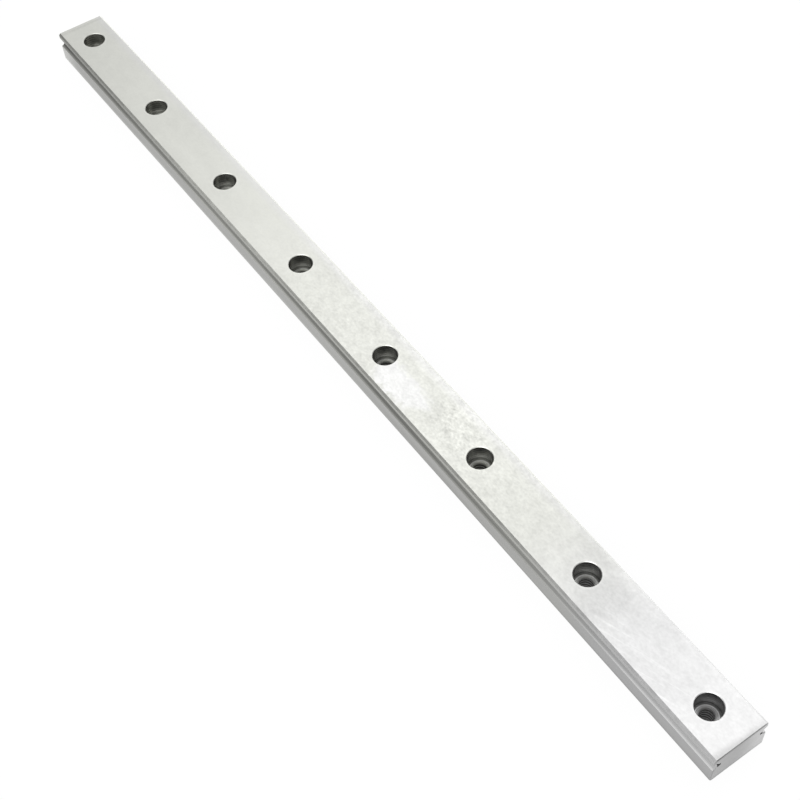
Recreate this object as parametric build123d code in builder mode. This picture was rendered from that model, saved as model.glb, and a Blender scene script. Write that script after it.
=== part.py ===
# Profile linear guide rail, bare, in the size that carries 15 mm miniature carriages.
# It is one hardened and ground steel bar. A ball raceway runs along each long side,
# and a row of counterbored holes takes the screws that hold the rail down.
# The rail lies along X on its underside. The origin is the middle of the underside.
from math import acos, asin, degrees, sqrt
from build123d import *
import os

# Bar
rail_width = 15.0
rail_height = 9.5
hole_pitch = 40.0
hole_count = 8
end_margin = 10.0  # from each sawn end to the nearest hole's axis
top_edge_break = 0.5
base_edge_break = 0.2
end_edge_break = 0.2  # all round both sawn ends

# Ball raceways, one along each side
ball_diameter = 3.175
groove_radius_ratio = 0.52  # groove radius as a share of the ball's diameter
raceway_drop = 3.1  # from the top face down to the middle of the raceway
ball_standoff = 0.35  # from the side face out to the ball's centre
arch_offset = 0.12  # how far each flank's centre lies past the raceway's middle
relief_width = 0.6  # slot along the bottom of the raceway
relief_depth = 0.5  # below the point where the two flanks would meet

# Screw holes
screw_hole_diameter = 3.5
counterbore_diameter = 6.5
counterbore_depth = 4.8
counterbore_edge_break = 0.15

# Worked out from the sizes above
rail_length = (hole_count - 1) * hole_pitch + 2 * end_margin
half_width = rail_width / 2
raceway_level = rail_height - raceway_drop
groove_radius = groove_radius_ratio * ball_diameter
ball_line = half_width + ball_standoff
mouth_angle = degrees(acos(ball_standoff / groove_radius))
slot_angle = degrees(asin((relief_width / 2 + arch_offset) / groove_radius))
flank_sweep = mouth_angle - slot_angle
slot_bottom = ball_line - sqrt(groove_radius**2 - arch_offset**2) - relief_depth

# One half of the section is drawn from the middle of the underside, round the raceway,
# to the middle of the top face, and mirrored. Each flank of the raceway is an arc struck
# from past the raceway's middle, which gives the pointed arch that a ball touches in two
# lines. The relief slot is cut where the flanks would meet.
with BuildPart() as guide_rail:
    with BuildSketch(Plane.YZ.offset(-rail_length / 2)) as section:
        with BuildLine() as half_outline:
            lower_flank = CenterArc(
                (ball_line, raceway_level + arch_offset), groove_radius, 180 + mouth_angle, -flank_sweep
            )
            upper_flank = CenterArc(
                (ball_line, raceway_level - arch_offset), groove_radius, 180 - slot_angle, -flank_sweep
            )
            Polyline(
                (0, 0),
                (half_width - base_edge_break, 0),
                (half_width, base_edge_break),
                lower_flank @ 0,
            )
            Polyline(
                lower_flank @ 1,
                (slot_bottom, raceway_level - relief_width / 2),
                (slot_bottom, raceway_level + relief_width / 2),
                upper_flank @ 0,
            )
            Polyline(
                upper_flank @ 1,
                (half_width, rail_height - top_edge_break),
                (half_width - top_edge_break, rail_height),
                (0, rail_height),
                (0, 0),
            )
        make_face()
        mirror(about=Plane.YZ)
    extrude(amount=rail_length)

    sawn_ends = guide_rail.faces().filter_by(Axis.X)
    chamfer(sawn_ends.edges(), end_edge_break)

    # The screws' heads sink below the top face, clear of the carriage.
    with Locations(Plane.XY.offset(rail_height)):
        with GridLocations(hole_pitch, 0, hole_count, 1):
            CounterBoreHole(screw_hole_diameter / 2, counterbore_diameter / 2, counterbore_depth)
    counterbore_mouths = guide_rail.edges().filter_by(GeomType.CIRCLE).group_by(Axis.Z)[-1]
    chamfer(counterbore_mouths, counterbore_edge_break)

guide_rail.part.label = "guide_rail"

os.makedirs("parts", exist_ok=True)
export_step(guide_rail.part, "parts/guide_rail.step")

print("length", rail_length, "volume", round(guide_rail.part.volume, 1))
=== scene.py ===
import bpy
from math import acos, asin, cos, hypot, pi, radians, sin, sqrt, tan
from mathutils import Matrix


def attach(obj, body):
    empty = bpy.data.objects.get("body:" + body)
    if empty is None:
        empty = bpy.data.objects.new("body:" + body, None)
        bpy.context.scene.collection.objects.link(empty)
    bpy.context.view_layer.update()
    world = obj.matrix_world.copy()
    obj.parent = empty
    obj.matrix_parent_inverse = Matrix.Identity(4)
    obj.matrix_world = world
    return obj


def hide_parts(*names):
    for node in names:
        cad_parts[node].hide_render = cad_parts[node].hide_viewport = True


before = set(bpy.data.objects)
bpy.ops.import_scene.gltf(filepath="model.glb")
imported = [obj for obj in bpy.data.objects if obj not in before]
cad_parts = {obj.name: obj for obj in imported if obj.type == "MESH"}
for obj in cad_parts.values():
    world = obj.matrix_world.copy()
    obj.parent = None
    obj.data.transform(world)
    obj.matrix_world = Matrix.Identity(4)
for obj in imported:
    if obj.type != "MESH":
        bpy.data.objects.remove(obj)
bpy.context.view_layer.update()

mm = 0.001

# The bar: its section swept along the length, with the screw holes taken out of it

bar = {
    "Rail Length": 300 * mm,
    "Hole Pitch": 40 * mm,
    "Hole Count": 8,
    "Counterbore Radius": 3.25 * mm,
    "Counterbore Depth": 4.8 * mm,
    "Counterbore Edge": 0.15 * mm,
    "Screw Hole Radius": 1.75 * mm,
    "End Break": 0.2 * mm,
}
section = {
    "width": 15 * mm,
    "height": 9.5 * mm,
    "topChamfer": 0.5 * mm,
    "baseChamfer": 0.2 * mm,
    "racewayLevel": 6.4 * mm,
    "grooveRadius": 0.52 * 3.175 * mm,  # a little over half of the ball's diameter
    "ballStandoff": 0.35 * mm,  # from the side face out to the ball's centre
    "archOffset": 0.12 * mm,  # how far each flank's centre lies past the raceway's middle
    "reliefWidth": 0.6 * mm,
    "reliefDepth": 0.5 * mm,
    "flankSteps": 16,
    "easing": 0.05 * mm,  # radius of every edge along the bar
    "easedFrom": 20,  # the turn in degrees from which a corner counts as an edge
}


def arcPoints(centre, radius, start, end):
    steps = section["flankSteps"]
    turns = [radians(start + (end - start) * i / steps) for i in range(steps + 1)]
    return [(centre[0] + radius * cos(t), centre[1] + radius * sin(t)) for t in turns]


def halfOutline(depth):
    # from the underside, round the raceway, to the top face, all moved in by depth
    half, high, low = section["width"] / 2 - depth, section["height"] - depth, depth
    radius, level = section["grooveRadius"] + depth, section["racewayLevel"]
    offset, reach = section["archOffset"], section["reliefWidth"] / 2 + depth
    ballLine = section["width"] / 2 + section["ballStandoff"]
    mouth = 180 / pi * acos((section["ballStandoff"] + depth) / radius)
    slot = 180 / pi * asin((reach + offset) / radius)
    slotBottom = ballLine - sqrt(section["grooveRadius"]**2 - offset**2) - section["reliefDepth"] - depth
    # a chamfer loses a little of its width as its face moves in
    top, base = [section[name] - depth * (2 - sqrt(2)) for name in ("topChamfer", "baseChamfer")]
    return ([(half - base, low), (half, low + base)]
            + arcPoints((ballLine, level + offset), radius, 180 + mouth, 180 + slot)
            + [(slotBottom, level - reach), (slotBottom, level + reach)]
            + arcPoints((ballLine, level - offset), radius, 180 - slot, 180 - mouth)
            + [(half, high - top), (half - top, high)])


def heading(start, end):
    step = (end[0] - start[0], end[1] - start[1])
    return step[0] / hypot(*step), step[1] / hypot(*step)


def eased(outline):
    # each sharp corner becomes a small arc of three points
    made = []
    for i, corner in enumerate(outline):
        before, after = outline[i - 1], outline[(i + 1) % len(outline)]
        arrive, leave = heading(before, corner), heading(corner, after)
        turn = acos(max(-1.0, min(1.0, arrive[0] * leave[0] + arrive[1] * leave[1])))
        if turn < radians(section["easedFrom"]):
            made.append(corner)
            continue
        back = section["easing"] * tan(turn / 2)
        start = (corner[0] - arrive[0] * back, corner[1] - arrive[1] * back)
        end = (corner[0] + leave[0] * back, corner[1] + leave[1] * back)
        made += [start, tuple(corner[k] / 2 + start[k] / 4 + end[k] / 4 for k in (0, 1)), end]
    return made


def wholeOutline(depth=0.0):
    right = halfOutline(depth)
    return eased(right + [(-across, up) for across, up in reversed(right)])


def sectionLoop():
    full, small = wholeOutline(), wholeOutline(bar["End Break"])
    loop = bpy.data.meshes.new("railSection")
    corners = [(0, across, up) for across, up in full]
    loop.from_pydata(corners, [(i, (i + 1) % len(corners)) for i in range(len(corners))], [])
    # how far each corner moves in where the ends are broken
    inset = loop.attributes.new("inset", "FLOAT_VECTOR", "POINT")
    for i, (outer, inner) in enumerate(zip(full, small)):
        inset.data[i].vector = (0, inner[0] - outer[0], inner[1] - outer[1])
    made = bpy.data.objects.new("railSection", loop)
    bpy.context.scene.collection.objects.link(made)
    return made


class Tree:
    # A geometry node group with named inputs.
    def __init__(self, name, inputs):
        self.group = bpy.data.node_groups.new(name, "GeometryNodeTree")
        face = self.group.interface
        face.new_socket("Geometry", in_out="INPUT", socket_type="NodeSocketGeometry")
        self.keys = {}
        for label, value in inputs.items():
            kind = "NodeSocketInt" if isinstance(value, int) else "NodeSocketFloat"
            self.keys[label] = face.new_socket(label, in_out="INPUT", socket_type=kind).identifier
        face.new_socket("Geometry", in_out="OUTPUT", socket_type="NodeSocketGeometry")
        self.start = self.group.nodes.new("NodeGroupInput")
        self.end = self.group.nodes.new("NodeGroupOutput")

    def node(self, kind, settings=None, sockets=None):
        # adds a node and gives its first output
        made = self.group.nodes.new(kind)
        for key, value in (settings or {}).items():
            setattr(made, key, value)
        for key, value in (sockets or {}).items():
            if hasattr(value, "links"):
                self.group.links.new(value, made.inputs[key])
            else:
                made.inputs[key].default_value = value
        return made.outputs[0]

    def maths(self, operation, *values):
        return self.node("ShaderNodeMath", {"operation": operation}, dict(enumerate(values)))

    def spot(self, x=0.0, y=0.0, z=0.0):
        return self.node("ShaderNodeCombineXYZ", None, {"X": x, "Y": y, "Z": z})

    def parts(self, kind):
        # x, y and z of what an input node gives
        vector = self.node(kind)
        return self.node("ShaderNodeSeparateXYZ", None, {0: vector}).node.outputs

    def both(self, *tests):
        found = tests[0]
        for test in tests[1:]:
            found = self.node("FunctionNodeBooleanMath", {"operation": "AND"}, {0: found, 1: test})
        return found

    def above(self, value, limit):
        return self.node("FunctionNodeCompare", {"operation": "GREATER_THAN"}, {"A": value, "B": limit})

    def below(self, value, limit):
        return self.node("FunctionNodeCompare", {"operation": "LESS_THAN"}, {"A": value, "B": limit})


def sweptBar(tree, halfLength):
    # the section stands at four places: at both ends, and where each end's chamfer starts
    line = tree.node("GeometryNodeCurvePrimitiveLine", None, {
        "Start": tree.spot(tree.maths("MULTIPLY", halfLength, -1)), "End": tree.spot(halfLength)})
    path = tree.node("GeometryNodeResampleCurve", None, {"Curve": line, "Count": 4})
    x = tree.parts("GeometryNodeInputPosition")[0]
    inner = tree.below(tree.maths("ABSOLUTE", x), tree.maths("MULTIPLY", halfLength, 0.5))
    square = tree.maths("SUBTRACT", halfLength, tree.start.outputs["End Break"])
    placed = tree.node("GeometryNodeSetPosition", None, {
        "Geometry": path, "Selection": inner,
        "Position": tree.spot(tree.maths("MULTIPLY", tree.maths("SIGN", x), square))})
    # the section is drawn across Y and up Z, so it is laid flat for the sweep
    outline = tree.node("GeometryNodeMeshToCurve", None, {0: tree.start.outputs["Geometry"]})
    flat = tree.node("GeometryNodeTransform", None, {
        "Geometry": outline, "Rotation": (0, radians(-90), radians(90))})
    swept = tree.node("GeometryNodeCurveToMesh", None, {
        "Curve": placed, "Profile Curve": flat, "Fill Caps": True})
    inset = tree.node("GeometryNodeInputNamedAttribute", {"data_type": "FLOAT_VECTOR"}, {"Name": "inset"})
    return tree.node("GeometryNodeSetPosition", None, {
        "Geometry": swept, "Selection": tree.above(tree.maths("ABSOLUTE", x), square), "Offset": inset})


cutters = {
    "boreSides": 96,
    "shankSides": 72,
    "past": 1 * mm,  # how far the tools reach past what they cut
}


def cutterTools(tree):
    # each screw hole is cut by a cylinder for the head, one for the shank and a cone for the mouth's edge
    given, past = tree.start.outputs, cutters["past"]
    head = tree.node("GeometryNodeMeshCylinder", None, {
        "Vertices": cutters["boreSides"], "Radius": given["Counterbore Radius"],
        "Depth": tree.maths("MULTIPLY", given["Counterbore Depth"], 2)})
    shank = tree.node("GeometryNodeMeshCylinder", None, {
        "Vertices": cutters["shankSides"], "Radius": given["Screw Hole Radius"],
        "Depth": 2 * (section["height"] + past)})
    mouth = tree.maths("ADD", given["Counterbore Radius"], given["Counterbore Edge"])
    cone = tree.node("GeometryNodeMeshCone", None, {
        "Vertices": cutters["boreSides"], "Radius Top": tree.maths("ADD", mouth, past),
        "Radius Bottom": tree.maths("SUBTRACT", mouth, past), "Depth": 2 * past})
    sunk = tree.node("GeometryNodeTransform", None, {"Geometry": cone, "Translation": (0, 0, -past)})
    return [head, shank, sunk]


def drilledBar(tree, solid):
    given = tree.start.outputs
    firstHole = tree.maths("MULTIPLY", tree.maths("SUBTRACT", given["Hole Count"], 1),
                           tree.maths("MULTIPLY", given["Hole Pitch"], -0.5))
    axes = tree.node("GeometryNodeMeshLine", None, {
        "Count": given["Hole Count"], "Start Location": tree.spot(firstHole, 0, section["height"]),
        "Offset": tree.spot(given["Hole Pitch"])})
    for tool in cutterTools(tree):
        tools = tree.node("GeometryNodeInstanceOnPoints", None, {"Points": axes, "Instance": tool})
        real = tree.node("GeometryNodeRealizeInstances", None, {"Geometry": tools})
        solid = tree.node("GeometryNodeMeshBoolean", {"operation": "DIFFERENCE", "solver": "EXACT"}, {
            0: solid, 1: real})
    return solid


zones = {
    "slim": 0.02 * mm,  # how far a face may lie from its place and still be found
    "grooveFrom": 5.0 * mm,  # the raceways and their slots are further out than this
    "grooveLow": 4.0 * mm,
    "grooveHigh": 8.2 * mm,
    "slotSlack": 0.05 * mm,
    "slotTo": 6.3 * mm,  # at the broken ends the slots are further in than this
    "chamfersFrom": 7.0 * mm,  # the long chamfers are further out than this
    "topChamfers": 8.9 * mm,
    "baseChamfers": 0.3 * mm,
    "steep": 0.5,  # a sloped face looks up or down by more than this
    "level": 0.9,  # and a level one by more than this
}


def faceFinishes(tree, solid, finishes):
    # each face is given the finish of the place where it lies, and a later choice goes over an earlier one
    place, facing = tree.parts("GeometryNodeInputPosition"), tree.parts("GeometryNodeInputNormal")
    along, across, up = tree.maths("ABSOLUTE", place[0]), tree.maths("ABSOLUTE", place[1]), place[2]
    endwards, upright = tree.maths("ABSOLUTE", facing[0]), tree.maths("ABSOLUTE", facing[2])
    halfLength, wall, top = bar["Rail Length"] / 2, section["width"] / 2, section["height"]
    slim, level, mouthEdge = zones["slim"], zones["level"], bar["Counterbore Edge"]
    ledge = top - bar["Counterbore Depth"]
    slotDepth = wall + section["ballStandoff"] - section["grooveRadius"] + zones["slotSlack"]
    inBores = tree.below(across, bar["Counterbore Radius"] + mouthEdge + slim)
    inGroove = tree.both(tree.above(across, zones["grooveFrom"]), tree.below(across, wall - slim),
                         tree.above(up, zones["grooveLow"]), tree.below(up, zones["grooveHigh"]))
    sloped = tree.both(tree.above(upright, zones["steep"]), tree.below(upright, level))
    chamfers = tree.both(sloped, tree.above(across, zones["chamfersFrom"]))
    atEnds = tree.above(along, halfLength - bar["End Break"])
    choices = [
        ("groundSide", None),
        ("brokenEdge", tree.both(chamfers, tree.above(up, zones["topChamfers"]))),
        ("brokenEdge", tree.both(chamfers, tree.below(up, zones["baseChamfers"]))),
        ("polishedRaceway", inGroove),
        ("rawRelief", tree.both(inGroove, tree.below(across, slotDepth))),
        ("turnedWall", tree.both(inBores, tree.above(up, ledge + slim))),
        ("drilledHole", tree.both(inBores, tree.below(up, ledge - slim))),
        ("brokenEdge", tree.both(inBores, sloped, tree.above(up, top - mouthEdge))),
        ("facedFloor", tree.both(inBores, tree.above(facing[2], level), tree.below(up, ledge + slim))),
        ("groundTop", tree.both(tree.above(facing[2], level), tree.above(up, top - slim))),
        ("groundUnderside", tree.both(tree.below(facing[2], -level), tree.below(up, slim))),
        ("filedEnd", atEnds),
        # the slot's dark finish also goes on the broken ends beside it, as painted shade
        ("rawRelief", tree.both(inGroove, tree.below(across, zones["slotTo"]), atEnds)),
        ("cutEnd", tree.both(tree.above(along, halfLength - slim), tree.above(endwards, level))),
    ]
    for name, where in choices:
        sockets = {"Geometry": solid, "Material": finishes[name]}
        if where is not None:
            sockets["Selection"] = where
        solid = tree.node("GeometryNodeSetMaterial", None, sockets)
    return solid


def railTree(finishes):
    tree = Tree("railBarTree", bar)
    halfLength = tree.maths("MULTIPLY", tree.start.outputs["Rail Length"], 0.5)
    solid = drilledBar(tree, sweptBar(tree, halfLength))
    real = tree.node("GeometryNodeRealizeInstances", None, {"Geometry": solid})
    tree.group.links.new(faceFinishes(tree, real, finishes), tree.end.inputs[0])
    return tree


def settled(piece):
    # the piece's mesh with its modifiers made real
    evaluated = piece.evaluated_get(bpy.context.evaluated_depsgraph_get())
    return bpy.data.meshes.new_from_object(evaluated)


smoothing = {
    "sharpFrom": 30,  # degrees between two faces
    "flatWeight": 100,
}


def guideRail(finishes):
    source = sectionLoop()
    tree = railTree(finishes)
    nodes = source.modifiers.new("bar", "NODES")
    nodes.node_group = tree.group
    for label, value in bar.items():
        nodes[tree.keys[label]] = value
    mesh = settled(source)
    source.modifiers.remove(nodes)
    bpy.data.objects.remove(source)
    for face in mesh.polygons:
        face.use_smooth = True
    mesh.set_sharp_from_angle(angle=radians(smoothing["sharpFrom"]))
    made = bpy.data.objects.new("rail_bar", mesh)
    bpy.context.scene.collection.objects.link(made)
    # flat faces stay flat beside the small arcs of the edges
    flatter = made.modifiers.new("flatFaces", "WEIGHTED_NORMAL")
    flatter.weight = smoothing["flatWeight"]
    flatter.keep_sharp = True
    made.data = settled(made)
    made.modifiers.clear()
    return made


# What the finishes are written with


class Wire:
    # A shader socket that takes part in plain arithmetic.
    def __init__(self, finish, socket):
        self.finish = finish
        self.socket = socket

    def maths(self, operation, other=None, swapped=False):
        pair = (self,) if other is None else ((other, self) if swapped else (self, other))
        return self.finish.node("Math", {"operation": operation}, dict(enumerate(pair)))

    def __add__(self, other):
        return self.maths("ADD", other)

    def __sub__(self, other):
        return self.maths("SUBTRACT", other)

    def __rsub__(self, other):
        return self.maths("SUBTRACT", other, True)

    def __mul__(self, other):
        return self.maths("MULTIPLY", other)

    def __truediv__(self, other):
        return self.maths("DIVIDE", other)

    def __rtruediv__(self, other):
        return self.maths("DIVIDE", other, True)

    def __pow__(self, other):
        return self.maths("POWER", other)

    def __rpow__(self, other):
        return self.maths("POWER", other, True)

    __radd__ = __add__
    __rmul__ = __mul__

    def size(self):
        return self.maths("ABSOLUTE")

    def floor(self):
        return self.maths("FLOOR")

    def atLeast(self, floor):
        return self.maths("MAXIMUM", floor)

    def ramp(self, low, high, toLow=0.0, toHigh=1.0):
        # smooth change from toLow to toHigh while the wire goes from low to high
        return self.finish.node("MapRange", {"interpolation_type": "SMOOTHSTEP"},
                                {"Value": self, "From Min": low, "From Max": high,
                                 "To Min": toLow, "To Max": toHigh})

    def near(self, middle, reach):
        # 1 where the wire is close to middle, 0 from reach away
        return (self - middle).size().ramp(0.0, reach, 1.0, 0.0)

    def mark(self, middle, reach, much):
        return self.near(middle, reach) * much


class Shading:
    # A shader tree whose nodes are all made by one method.
    def __init__(self, owner):
        owner.use_nodes = True
        self.tree = owner.node_tree
        self.tree.nodes.clear()

    def node(self, kind, settings=None, sockets=None, out=0):
        made = self.tree.nodes.new("ShaderNode" + kind)
        for key, value in (settings or {}).items():
            setattr(made, key, value)
        for key, value in (sockets or {}).items():
            if isinstance(value, Wire):
                self.tree.links.new(value.socket, made.inputs[key])
            else:
                made.inputs[key].default_value = value
        return made if out is None or not made.outputs else Wire(self, made.outputs[out])

    def vector(self, operation, *values, out=0):
        return self.node("VectorMath", {"operation": operation}, dict(enumerate(values)), out)


steelTint = {
    "warm": (1.0, 1.008, 0.948),
    "cool": (1.0, 1.0, 1.0),
    "turnsCool": (75, 120),  # in millimetres along the bar
    "glancing": (0.6, 0.6, 0.6),  # steel's glancing reflection is a little under white
}


class Finish(Shading):
    # The surface of one part of the bar, patterned by its place in millimetres.
    def __init__(self, name):
        self.material = bpy.data.materials.new(name)
        super().__init__(self.material)
        place = self.node("TexCoord", out="Object")
        self.place = self.vector("MULTIPLY", place, (1 / mm, 1 / mm, 1 / mm))
        parts = self.node("SeparateXYZ", {}, {0: self.place}, out=None)
        self.x, self.y, self.z = [Wire(self, socket) for socket in parts.outputs]

    def spot(self, x, y, z):
        return self.node("CombineXYZ", {}, {0: x, 1: y, 2: z})

    def noise(self, where, detail, roughness, distortion=0.0):
        # from -0.5 to 0.5
        return self.node("TexNoise", {}, {"Vector": where, "Scale": 1.0, "Detail": detail,
                                          "Roughness": roughness, "Distortion": distortion}) - 0.5

    def grain(self, cycles, detail, roughness, distortion=0.0, shift=(0, 0, 0)):
        # noise with so many cycles to the millimetre along x, y and z
        where = self.node("Mapping", {}, {"Vector": self.place, "Location": shift, "Scale": cycles})
        return self.noise(where, detail, roughness, distortion)

    def blend(self, share, first, second):
        return self.node("Mix", {"data_type": "RGBA"}, {0: share, 6: (*first, 1), 7: (*second, 1)}, out=2)

    def tinted(self, grey, cool=None):
        # a grey wire in the tint of the steel; cool is how far it is from yellow to neutral
        if cool is None:
            cool = self.x.ramp(*steelTint["turnsCool"])
        return self.vector("MULTIPLY", self.blend(cool, steelTint["warm"], steelTint["cool"]), grey)

    def bump(self, height, depth):
        # depth is how far a height of 1 stands up, in metres
        return self.node("Bump", {}, {"Height": height, "Distance": depth, "Strength": 1.0})

    def steel(self, colour, roughness, normal):
        shader = self.node("BsdfPrincipled", {}, {
            "Base Color": colour, "Metallic": 1.0, "Roughness": roughness,
            "Specular Tint": (*steelTint["glancing"], 1), "Normal": normal})
        self.node("OutputMaterial", {}, {"Surface": shader})
        return self.material


def fromHole(f):
    # how far along the bar a place is from the axis of the hole it is in
    pitch = bar["Hole Pitch"] / mm
    return f.x - ((f.x / pitch).floor() * pitch + pitch / 2)


def holeRadius(f):
    x = fromHole(f)
    return (x * x + f.y * f.y) ** 0.5


def holeTurn(f):
    # how far round the hole, as a share of a whole turn
    return fromHole(f).maths("ARCTAN2", f.y) / (2 * pi)


# Finishes of the one bar. A shade is how much light the steel gives back, and places are in millimetres.
# A grain is given by its cycles to the millimetre, detail, roughness, distortion and shift. Two numbers
# are where a ramp from 0 to 1 begins and ends, and two more are its values there. Three are a mark:
# its middle, its reach and how much it changes the shade.

topFinish = {
    "shade": 0.54,
    "roughness": 0.33,
    "lineGrain": ((0.02, 5.0, 5.0), 4, 0.62),
    "lines": 0.05,
    "lineRoughness": 0.08,
    "lineDepth": 0.0000005,
    "cloudGrain": ((0.07, 0.12, 0.1), 2, 0.5, 0.6),
    "clouds": 0.13,
    "mottleGrain": ((0.40, 0.55, 0.5), 3, 0.55, 0.5, (3, 7, 0)),
    "mottle": 0.45,
    "mottleRoughness": 0.12,
    "fleckGrain": ((1.2, 1.6, 1.5), 2, 0.6, 0.0, (11, 2, 0)),
    "flecks": 0.41,
    "lively": (-42, 8, 0.26, 1.0),  # the mottle grows between these two places
    "calmer": (60, 95, 1.0, 0.6),
    "cloudShift": 26,  # how far the clouds and the mottle push the outlines of the marks about
    "mottleShift": 6,
    "handledSheenPatch": (30, -2.8, 14, 7),  # the brightest patch, handling wear with a painted highlight on it: its middle, then its reach, along and across
    "handledSheenCore": (0.15, 0.60),
    "handledSheen": 0.13,
    "handledSheenRoughness": -0.03,
    "handledSheenNeutral": 0.8,
    "speckledPatch": (50, 1.0, 15, 9),
    "speckled": 0.9,
    "dimPatch": (46, 1.5, 10, 7),
    "dim": -0.06,
    # painted shade: darker bands across the top and a darker band at the far end; painted light: lighter
    # stretches in the middle and at the near end
    "paintedShadeBand": (102, 12, -0.10),
    "bandSlant": 0.8,
    "paintedShadeReach": (119, 24, -0.06),
    "paintedShadeStretch": (84, 34, -0.07),
    "paintedLightMiddle": (-20, 62, 0.035),
    "paintedLightNearEnd": (150, 34, 0.062),
    "farEndPaintedShade": (-148.5, 0.9, -0.09),
    "nearEndPaintedShade": (148.2, 150.1, 0.0, 0.24),  # painted shade: the top is darkened before the cut
    "paintedShadeEarlier": (-5.0, 1.0, 0.5, 0.0),  # towards the left edge
    "paintedShadeLess": (3.0, 6.0, 1.0, 0.5),  # towards the right edge
    # painted light: a lighter strip along the right edge
    "rightEdgePaintedLight": (6.4, 0.9, 0.025),
    "paintedHaloRing": (3.6, 0.4, 0.05),  # a painted highlight round each hole's mouth
    "paleStrip": (38, 30, 0.05),  # along the right edge
    "stripAcross": (3.6, 5.2),
    "rightNeutral": (4.0, 6.8, 0.0, 0.6),  # less yellow there
}
streakMarks = {
    "much": 0.14,
    "slope": 0.33,
    "cycles": (0.035, 0.95),  # to the millimetre, along and across
    "layer": 3.0,
    "noise": (4, 0.6),
    "share": (0.0, 0.18),  # of the noise: where a streak begins and where it is full
    "across": (0.5, -3.5),
    "along": (104, 114),
    "fades": (132, 142, 1.0, 0.3),
}


def blot(x, y, middle, side, long, wide):
    return x.near(middle, long) * y.near(side, wide)


def streaks(f):
    # long fine scratches that run off at a slight angle, near the left edge
    g = streakMarks
    along, across = g["cycles"]
    slanted = f.spot(f.x * along, (f.y - f.x * g["slope"]) * across, g["layer"])
    found = f.noise(slanted, *g["noise"]).ramp(*g["share"])
    return found * f.y.ramp(*g["across"]) * f.x.ramp(*g["along"]) * f.x.ramp(*g["fades"]) * g["much"]


def groundTop():
    f, g = Finish("groundTop"), topFinish
    lines, clouds = f.grain(*g["lineGrain"]), f.grain(*g["cloudGrain"])
    mottle, flecks = f.grain(*g["mottleGrain"]), f.grain(*g["fleckGrain"])
    x, y = f.x + clouds * g["cloudShift"], f.y + mottle * g["mottleShift"]
    # a patch of handling wear, painted brighter as a highlight
    handledSheen = blot(x, y, *g["handledSheenPatch"]).ramp(*g["handledSheenCore"])
    lively = f.x.ramp(*g["lively"]) * f.x.ramp(*g["calmer"])
    lively = lively + blot(x, y, *g["speckledPatch"]) * g["speckled"]
    change = (mottle * g["mottle"] + flecks * g["flecks"]) * lively
    change = change + clouds * g["clouds"] + lines * g["lines"] + streaks(f)
    change = change + handledSheen * g["handledSheen"] + blot(x, y, *g["dimPatch"]) * g["dim"]
    # painted light and painted shade along the top
    for name in ("paintedLightMiddle", "paintedLightNearEnd", "farEndPaintedShade"):
        change = change + f.x.mark(*g[name])
    for name in ("paintedShadeReach", "paintedShadeStretch"):
        change = change + x.mark(*g[name])
    change = change + (x + f.y * g["bandSlant"]).mark(*g["paintedShadeBand"]) + holeRadius(f).mark(*g["paintedHaloRing"])
    change = change + f.x.mark(*g["paleStrip"]) * f.y.ramp(*g["stripAcross"])
    # painted shade at the near end's top edge, less a painted lighter strip along the right edge
    paintedEdgeShade = (f.x + f.y.ramp(*g["paintedShadeEarlier"])).ramp(*g["nearEndPaintedShade"]) * f.y.ramp(*g["paintedShadeLess"])
    paintedEdgeShade = paintedEdgeShade - f.y.mark(*g["rightEdgePaintedLight"])
    shade = g["shade"] * (1 + change) * (1 - paintedEdgeShade)
    cool = f.x.ramp(*steelTint["turnsCool"]).atLeast(f.y.ramp(*g["rightNeutral"]))
    cool = cool.atLeast(handledSheen * g["handledSheenNeutral"])
    roughness = g["roughness"] + mottle * g["mottleRoughness"] + lines * g["lineRoughness"]
    roughness = roughness + handledSheen * g["handledSheenRoughness"]
    return f.steel(f.tinted(shade, cool), roughness, f.bump(lines, g["lineDepth"]))


sideFinish = {
    "shade": 0.47,
    "roughness": 0.36,
    "lineGrain": ((0.03, 3.2, 3.2), 4, 0.62),
    "lines": 0.16,
    "lineRoughness": 0.12,
    "lineDepth": 0.0000007,
    "patchGrain": ((0.05, 0.4, 0.5), 3, 0.55, 0.3, (2, 0, 5)),
    "patches": 0.14,
    "patchRoughness": 0.08,
    "upperFrom": (5.0, 7.5),
    # painted light and painted shade: the lands are made lighter or darker along the bar, and lighter near
    # the foot
    "upperLandLight": (-150, -40, 0.76, 1.06),
    "upperNearLight": (90, 105, 1.0, 1.06),
    "upperFarLight": (-150, -141, 0.16, 0.0),
    "lowerLandLight": (20, 110, 1.10, 0.98),
    "lowerFarLight": (-151, -138, 0.42, 0.0),
    "lowerNeutral": 0.55,  # it is less yellow than the rest
    "lowEdgeLight": (0.4, 1.6, 1.0, 0.0),
    "lowEdgeLightAlong": (-40, 130, 0.16, -0.12),
    "lowPaintedShade": (42, 46),
    "lowPaintedShadeUp": (0.8, 4.0, 0.15, 0.03),
}


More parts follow.
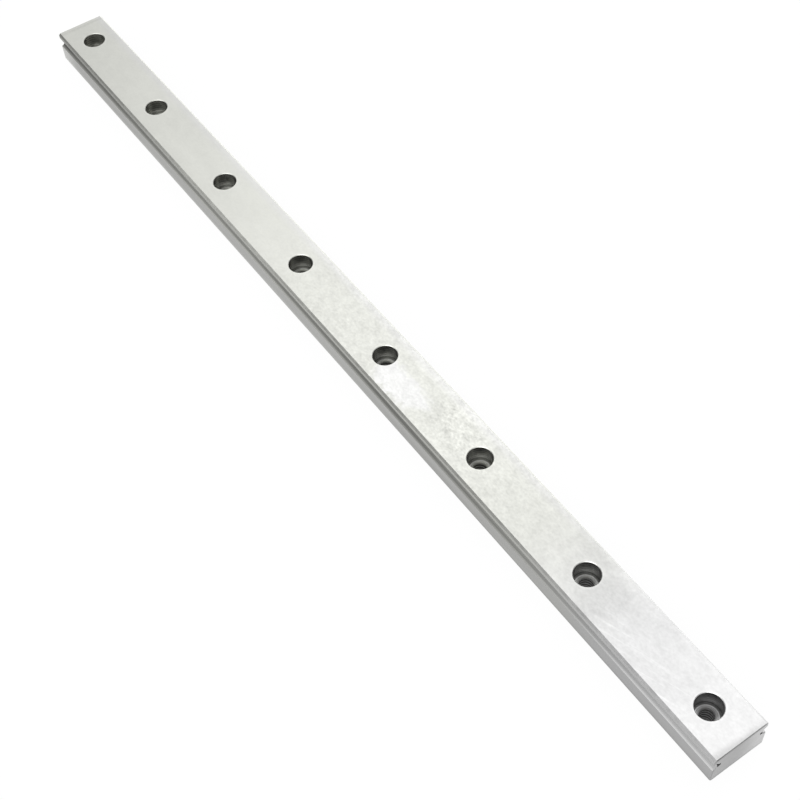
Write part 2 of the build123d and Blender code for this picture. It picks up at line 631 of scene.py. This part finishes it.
def groundSide():
    f, g = Finish("groundSide"), sideFinish
    lines, patches = f.grain(*g["lineGrain"]), f.grain(*g["patchGrain"])
    upper = f.z.ramp(*g["upperFrom"])
    # the side's painted light and painted shade
    upperLandLight = f.x.ramp(*g["upperLandLight"]) * f.x.ramp(*g["upperNearLight"]) + f.x.ramp(*g["upperFarLight"])
    lowerLandLight = f.x.ramp(*g["lowerLandLight"]) + f.x.ramp(*g["lowerFarLight"])
    landLight = upper * upperLandLight + (1 - upper) * lowerLandLight
    landLight = landLight + f.z.ramp(*g["lowEdgeLight"]) * f.x.ramp(*g["lowEdgeLightAlong"])
    landLight = landLight - f.x.near(*g["lowPaintedShade"]) * f.z.ramp(*g["lowPaintedShadeUp"])
    shade = g["shade"] * landLight * (1 + lines * g["lines"] + patches * g["patches"])
    roughness = g["roughness"] + lines * g["lineRoughness"] + patches * g["patchRoughness"]
    cool = f.x.ramp(*steelTint["turnsCool"]).atLeast((1 - upper) * g["lowerNeutral"])
    return f.steel(f.tinted(shade, cool), roughness, f.bump(lines, g["lineDepth"]))


undersideFinish = {
    "shade": 0.46,
    "roughness": 0.37,
    "sweepCurve": 0.012,
    "sweepCycles": (3.4, 0.05),  # along and across
    "sweepNoise": (4, 0.62),
    "lines": 0.14,
    "lineDepth": 0.0000008,
    "mottleGrain": ((0.12, 0.3, 0.3), 3, 0.6, 0.5),
    "mottle": 0.16,
    "mottleRoughness": 0.15,
}


def groundUnderside():
    # ground across the bar, and rubbed where it was clamped
    f, g = Finish("groundUnderside"), undersideFinish
    along, across = g["sweepCycles"]
    sweep = f.x + f.y * f.y * g["sweepCurve"]
    lines = f.noise(f.spot(sweep * along, f.y * across, 0.0), *g["sweepNoise"])
    mottle = f.grain(*g["mottleGrain"])
    shade = g["shade"] * (1 + lines * g["lines"] + mottle * g["mottle"])
    roughness = g["roughness"] + mottle * g["mottleRoughness"]
    return f.steel(f.tinted(shade), roughness, f.bump(lines, g["lineDepth"]))


racewayFinish = {
    "deepShade": 0.48,  # the track that the balls would run in; the mouth below it is painted darker, as painted shade
    "mouthShade": 0.39,
    "mouthStarts": (6.7, 7.05),
    "roughness": 0.22,
    "lineGrain": ((0.012, 6.0, 6.0), 4, 0.6),
    "lines": 0.18,
    "lineRoughness": 0.08,
    "lineDepth": 0.0000004,
    "filmGrain": ((0.06, 0.8, 0.8), 3, 0.55, 0.4),
    "film": 0.14,
    "filmRoughness": 0.10,
    # painted reflection and painted shade along the raceway
    "paintedReflection": (-58, 85, 0.55),
    "mouthPaintedShade": (65, 60, -0.28),
    "deepFarPaintedShade": (-149, -138, -0.38, 0.0),
    "farMouthPaintedLight": (-145, -80, 0.28, 0.0),
    "nearMouthPaintedLight": (105, 130, 0.0, 0.13),
    "lowFlankPaintedShade": (32, 40, -0.09),
    "lowFlank": (5.6, 6.3, 1.0, 0.0),
}


def polishedRaceway():
    f, g = Finish("polishedRaceway"), racewayFinish
    lines, film = f.grain(*g["lineGrain"]), f.grain(*g["filmGrain"])
    mouth = f.y.size().ramp(*g["mouthStarts"])
    # painted reflection and painted shade along the raceway
    along = f.x.mark(*g["paintedReflection"]) + (1 - mouth) * f.x.ramp(*g["deepFarPaintedShade"])
    ends = f.x.ramp(*g["farMouthPaintedLight"]) + f.x.ramp(*g["nearMouthPaintedLight"])
    along = along + mouth * (ends + f.x.mark(*g["mouthPaintedShade"]))
    along = along + f.x.mark(*g["lowFlankPaintedShade"]) * f.z.ramp(*g["lowFlank"])
    # painted shade: the mouth darker than the deep track
    shade = g["deepShade"] - mouth * (g["deepShade"] - g["mouthShade"])
    shade = shade * (1 + lines * g["lines"] + film * g["film"] + along)
    roughness = g["roughness"] + lines * g["lineRoughness"] + film * g["filmRoughness"]
    return f.steel(f.tinted(shade), roughness, f.bump(lines, g["lineDepth"]))


reliefFinish = {
    "shade": 0.18,
    "roughness": 0.5,
    "scaleGrain": ((0.4, 2.5, 2.5), 4, 0.6),
    "scale": 0.6,
    "scaleRoughness": 0.25,
    "scaleDepth": 0.000008,
    "endsPaintedShade": (148.0, 149.4, 1.0, 0.45),  # painted shade where the slot is cut off
}


def rawRelief():
    f, g = Finish("rawRelief"), reliefFinish
    scale = f.grain(*g["scaleGrain"])
    shade = g["shade"] * (1 + scale * g["scale"]) * f.x.size().ramp(*g["endsPaintedShade"])
    roughness = g["roughness"] + scale * g["scaleRoughness"]
    return f.steel(f.tinted(shade), roughness, f.bump(scale, g["scaleDepth"]))


edgeFinish = {
    "shade": (-6.0, 6.0, 0.45, 0.94),  # from the left edge to the right one; the right one is painted lighter, a painted reflection
    "roughness": 0.42,
    "lineGrain": ((0.02, 4.0, 4.0), 3, 0.6, 0.0, (9, 1, 4)),
    "lines": 0.12,
    "lineDepth": 0.0000005,
    "nickGrain": ((0.5, 0.5, 0.5), 3, 0.6, 0.3, (1, 8, 6)),
    "nicks": 0.14,
    "nickRoughness": 0.10,
    "left": (-6.5, -4.0, 1.0, 0.0),
    "leftNicks": 0.40,
    "leftPaintedLight": (-55, 75, 0.48),
    "leftPaintedShade": (75, 40, -0.13),
    "leftRoundingHighlight": (-40, 110, 0.17),  # a painted highlight along its upper edge, as if rounded over, most at the middle of the bar
    "roundingHighlightUp": (9.15, 9.45),
    "rightEndPaintedShade": (144, 149, 0.0, 0.14),
    "atHole": (3.6, 5.0, 1.0, 0.0),
    "farMouthsPaintedShade": (-110, 20, 0.80, 1.0),  # painted shade on the holes' edges, from the far end on
}


def brokenEdge():
    # the chamfers: one light pass of the wheel, so their lines are few and clean
    f, g = Finish("brokenEdge"), edgeFinish
    lines, nicks = f.grain(*g["lineGrain"]), f.grain(*g["nickGrain"])
    left, atHole = f.y.ramp(*g["left"]), f.y.size().ramp(*g["atHole"])
    # painted light and painted shade along the left chamfer, on the right one near the end and on the far
    # holes' edges
    along = f.x.mark(*g["leftPaintedLight"]) + f.x.mark(*g["leftPaintedShade"])
    along = along + f.x.mark(*g["leftRoundingHighlight"]) * f.z.ramp(*g["roundingHighlightUp"])
    shade = f.y.ramp(*g["shade"]) * (1 + left * along)
    shade = shade * (1 + lines * g["lines"] + nicks * (g["nicks"] + left * g["leftNicks"]))
    shade = shade * (1 - f.x.ramp(*g["rightEndPaintedShade"]) * (1 - left))
    shade = shade * (1 - atHole * (1 - f.x.ramp(*g["farMouthsPaintedShade"])))
    roughness = g["roughness"] + nicks * g["nickRoughness"]
    return f.steel(f.tinted(shade), roughness, f.bump(lines, g["lineDepth"]))


filedFinish = {
    "shade": 0.42,
    "roughness": 0.45,
    "strokeGrain": ((1.5, 1.2, 1.2), 3, 0.6, 0.4, (4, 4, 1)),
    "strokes": 0.35,
    "strokeRoughness": 0.15,
    "strokeDepth": 0.000003,
    "onTop": (8.6, 9.2),
    "leftCorner": (-6.8, -4.0),
    # painted shade at the left corner of the top edge, painted light at the right corner, painted shade
    # inside the raceway
    "leftCornerPaintedShade": 0.27,
    "rightCornerPaintedLight": (4.5, 7.2, 0.0, 0.12),
    "racewayPaintedShade": 0.72,
    "racewayAcross": (7.35, 7.45, 1.0, 0.0),
    "racewayTop": (7.9, 8.3, 1.0, 0.0),
    "racewayBase": (5.6, 6.2, 0.15, 1.0),
}


def filedEnd():
    # the edges of both cut ends, broken by hand with a file
    f, g = Finish("filedEnd"), filedFinish
    strokes = f.grain(*g["strokeGrain"])
    onTop = f.z.ramp(*g["onTop"])
    # painted shade and painted light across the broken edge
    shade = onTop * f.y.ramp(*g["leftCorner"], g["leftCornerPaintedShade"], g["shade"]) + (1 - onTop) * g["shade"]
    shade = shade * (1 + strokes * g["strokes"]) + f.y.ramp(*g["rightCornerPaintedLight"])
    inRaceway = f.z.ramp(*g["racewayTop"]) * f.z.ramp(*g["racewayBase"])
    inRaceway = inRaceway * f.y.size().ramp(*g["racewayAcross"])
    shade = shade * (1 - inRaceway * g["racewayPaintedShade"])
    roughness = g["roughness"] + strokes * g["strokeRoughness"]
    return f.steel(f.tinted(shade), roughness, f.bump(strokes, g["strokeDepth"]))


endFinish = {
    "shade": 0.545,
    "roughness": 0.36,
    "wheelCentre": (-70, 95),  # of the cutting wheel, across and up
    "arcCycles": (3.6, 0.10, 0.02),  # outwards from it, up and along
    "arcNoise": (4, 0.6),
    "arcs": 0.24,
    "arcRoughness": 0.10,
    "arcDepth": 0.0000022,
    "stainGrain": ((0.3, 0.22, 0.4), 3, 0.55, 0.4),
    "stain": 0.18,
    "stainRoughness": 0.12,
    # painted light towards the right, painted shade at the foot and head
    "rightPaintedLight": (-1.0, 6.0, 1.0, 1.34),
    "footPaintedShade": (0.2, 1.4, 0.76, 1.0),
    "headPaintedShade": (8.2, 9.3, 1.0, 0.92),
}


def cutEnd():
    # the cutting wheel leaves wide arcs; the face is painted lighter towards the right and darker at its
    # foot and head, as painted light and shade
    f, g = Finish("cutEnd"), endFinish
    across, up = f.y - g["wheelCentre"][0], f.z - g["wheelCentre"][1]
    radius = (across * across + up * up) ** 0.5
    outCycles, upCycles, alongCycles = g["arcCycles"]
    arcs = f.noise(f.spot(radius * outCycles, f.z * upCycles, f.x * alongCycles), *g["arcNoise"])
    stain = f.grain(*g["stainGrain"])
    endPaintedLight = f.y.ramp(*g["rightPaintedLight"]) * f.z.ramp(*g["footPaintedShade"]) * f.z.ramp(*g["headPaintedShade"])
    shade = g["shade"] * (1 + arcs * g["arcs"] + stain * g["stain"]) * endPaintedLight
    roughness = g["roughness"] + stain * g["stainRoughness"] + arcs * g["arcRoughness"]
    return f.steel(f.tinted(shade), roughness, f.bump(arcs, g["arcDepth"]))


wallFinish = {
    "shade": 0.285,
    "roughness": 0.34,
    "feed": 0.75,  # how far the tool moved down in each turn
    "thread": 0.24,
    "threadHeight": 0.5,
    "scratchGrain": ((1.1, 1.1, 5.0), 4, 0.65),
    "scratches": 1.5,
    "scratchRoughness": 0.2,
    "depth": 0.000005,
    # painted shade: the wall is darkest just above the floor
    "paintedShadeUpwards": ((4.7, 7.8, 0.46, 1.0),),
    # painted light and painted shade along the bar
    "along": ((30, 150, 1.00, 0.82), (-140, 20, 1.75, 1.0)),
}
drilledFinish = {
    "shade": 0.60,
    "roughness": 0.42,
    "feed": 1.05,
    "thread": 0.60,
    "threadHeight": 0.5,
    "scratchGrain": ((0.7, 0.7, 5.0), 3, 0.6),
    "scratches": 0.7,
    "scratchRoughness": 0.2,
    "depth": 0.0000075,
    "paintedShadeUpwards": (),
    # painted light towards the near end
    "along": ((60, 100, 1.00, 1.28),),
}


def toolMarked(name, g):
    # the fine thread that a tool leaves on its way down, and the scratches of its chips
    f = Finish(name)
    thread = ((f.z / g["feed"] + holeTurn(f)) * (2 * pi)).maths("SINE")
    scratches = f.grain(*g["scratchGrain"])
    shade = g["shade"] * (1 + thread * g["thread"] + scratches * g["scratches"])
    # painted shade upwards, and painted light and shade along the bar
    for ramp in g["paintedShadeUpwards"]:
        shade = shade * f.z.ramp(*ramp)
    for ramp in g["along"]:
        shade = shade * f.x.ramp(*ramp)
    roughness = g["roughness"] + scratches * g["scratchRoughness"]
    return f.steel(f.tinted(shade), roughness, f.bump(thread * g["threadHeight"] + scratches, g["depth"]))


def turnedWall():
    return toolMarked("turnedWall", wallFinish)


def drilledHole():
    return toolMarked("drilledHole", drilledFinish)


floorFinish = {
    "shade": 0.45,
    "roughness": 0.34,
    "ringCycles": (3.4, 0.01),  # outwards, and along the bar, so that no two holes are alike
    "ringLayer": 0.4,
    "ringNoise": (3, 0.6),
    "rings": 0.50,
    "ringRoughness": 0.15,
    "ringDepth": 0.000005,
    "brightRing": (2.66, 0.17, 0.80),
    "darkRing": (2.42, 0.14, -0.20),
    # painted shade at the inner rim
    "innerRimPaintedShade": (1.85, 2.45, -0.68, 0.0),
    "corner": (2.74, 2.96, 1.0, 0.50),  # painted shade in the corner under the wall
    # painted light at the far holes
    "along": (40, 140, 2.10, 1.20),
}


def facedFloor():
    # the counterbore's floor, with the rings that the cutter leaves
    f, g = Finish("facedFloor"), floorFinish
    radius = holeRadius(f)
    outCycles, alongCycles = g["ringCycles"]
    rings = f.noise(f.spot(radius * outCycles, g["ringLayer"], f.x * alongCycles), *g["ringNoise"])
    change = rings * g["rings"] + radius.mark(*g["brightRing"]) + radius.mark(*g["darkRing"])
    # painted shade at the inner rim and in the corner, painted light at the far holes
    change = change + radius.ramp(*g["innerRimPaintedShade"])
    shade = g["shade"] * (1 + change) * f.x.ramp(*g["along"]) * radius.ramp(*g["corner"])
    roughness = g["roughness"] + rings * g["ringRoughness"]
    return f.steel(f.tinted(shade), roughness, f.bump(rings, g["ringDepth"]))


makers = (groundTop, groundSide, groundUnderside, polishedRaceway, rawRelief, brokenEdge, filedEnd, cutEnd,
          turnedWall, facedFloor, drilledHole)
finishes = {maker.__name__: maker() for maker in makers}
print("finishes", sorted(finishes))

rail = guideRail(finishes)
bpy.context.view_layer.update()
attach(rail, "root")
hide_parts("guide_rail")

# Floor, light and camera

room = {
    "floorSize": 24.0,
    "floorColour": (0.05, 0.05, 0.05),
    "floorRoughness": 0.9,
    "floorGlow": 0.945,
    "glowUnder": 0.06,  # the share of it that is left under the bar, a painted shadow
    "paintedShadowAlong": (148.5, 150.0, 1.0, 0.0),
    "paintedShadowAcross": (6.5, 7.5, 1.0, 0.0),
    "brightSide": (0.822, 0.565, 0.063),  # the side from which the light tent is brightest
    "brightens": (-0.898, -0.098),
    "dimLight": 0.27,
    "brightLight": 1.725,
    "calms": (0.22, 0.85),  # beyond this the tent falls back, so that the bar reads from behind too
    "calmLight": 0.40,
    "window": (0.408, -0.911, 0.052),  # a softer second light
    "windowLight": 1.0,
    "windowFocus": 4,
    "backdrop": 1.0,
}


def floor():
    size = room["floorSize"] / 2
    mesh = bpy.data.meshes.new("floor")
    corners = [(-size, -size, 0), (size, -size, 0), (size, size, 0), (-size, size, 0)]
    mesh.from_pydata(corners, [], [(0, 1, 2, 3)])
    made = bpy.data.objects.new("floor", mesh)
    bpy.context.scene.collection.objects.link(made)
    # it glows a little, as a lit table does, but under the bar the glow is cut back as a painted shadow
    f = Finish("paleFloor")
    paintedShadow = f.x.size().ramp(*room["paintedShadowAlong"]) * f.y.size().ramp(*room["paintedShadowAcross"])
    shader = f.node("BsdfPrincipled", {}, {
        "Base Color": (*room["floorColour"], 1), "Roughness": room["floorRoughness"],
        "Specular IOR Level": 0.0, "Emission Strength": room["floorGlow"],
        "Emission Color": f.vector("MULTIPLY", (1, 1, 1), 1 - paintedShadow * (1 - room["glowUnder"]))})
    f.node("OutputMaterial", {}, {"Surface": shader})
    mesh.materials.append(f.material)


def studioLight():
    # a light tent, bright to one side and overhead, with a window opposite and a plain pale backdrop
    made = bpy.data.worlds.new("studioLight")
    s = Shading(made)
    direction = s.node("TexCoord", out="Generated")
    toSide = s.vector("DOT_PRODUCT", direction, room["brightSide"], out="Value")
    toWindow = s.vector("DOT_PRODUCT", direction, room["window"], out="Value")
    tent = toSide.ramp(*room["brightens"], room["dimLight"], room["brightLight"])
    tent = tent - toSide.ramp(*room["calms"]) * (room["brightLight"] - room["calmLight"])
    tent = tent + toWindow.atLeast(0.0) ** room["windowFocus"] * room["windowLight"]
    seen = s.node("LightPath", out="Is Camera Ray")
    strength = tent + (room["backdrop"] - tent) * seen
    background = s.node("Background", {}, {"Color": (1, 1, 1, 1), "Strength": strength})
    s.node("OutputWorld", {}, {"Surface": background})
    bpy.context.scene.world = made


view = {
    "place": (0.21938, -0.11897, 0.28944),
    "turn": (37.756, 2.689, 54.995),
    "lens": 64.449,
    "sensor": 36.0,
    "nearest": 0.01,
}


def camera():
    lens = bpy.data.cameras.new("photoCamera")
    lens.sensor_width = view["sensor"]
    lens.lens = view["lens"]
    lens.clip_start = view["nearest"]
    made = bpy.data.objects.new("photoCamera", lens)
    made.location = view["place"]
    made.rotation_euler = [radians(t) for t in view["turn"]]
    bpy.context.scene.collection.objects.link(made)
    bpy.context.scene.camera = made


floor()
studioLight()
camera()
bpy.context.scene.view_settings.view_transform = "Standard"
print("stage set")
